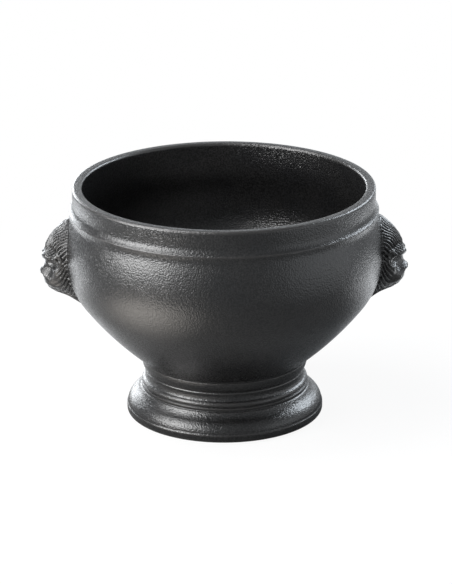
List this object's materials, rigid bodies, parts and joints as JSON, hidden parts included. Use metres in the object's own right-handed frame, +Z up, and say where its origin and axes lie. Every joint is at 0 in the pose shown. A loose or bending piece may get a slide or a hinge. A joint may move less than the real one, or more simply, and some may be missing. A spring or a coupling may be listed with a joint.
{
  "type": "soup crock",
  "caption": "Footed stoneware soup crock with a round belly, a grooved rim, a turned pedestal foot and lion heads luted on opposite sides as handles, in a black pebbled glaze.",
  "frame": {"origin": "centre of the foot's standing ring, on the table", "axes": "+Z up out of the mouth, +X through the right lion head, so that the heads lie on the X axis"},
  "size_m": [0.1564, 0.1358, 0.101],
  "materials": {
    "black_glaze": "satin charcoal black glaze with a fine pebbled grain, like seasoned iron",
    "luting_slip": "dark fired slip, seen only as a hairline under the glaze"
  },
  "bodies": {
    "root": {"bowl_body": "black_glaze", "pedestal_foot": "black_glaze", "foot_slip_joint": "luting_slip", "right_lion_head": "black_glaze", "left_lion_head": "black_glaze", "right_head_slip_joint": "luting_slip", "left_head_slip_joint": "luting_slip"}
  },
  "joints": []
}
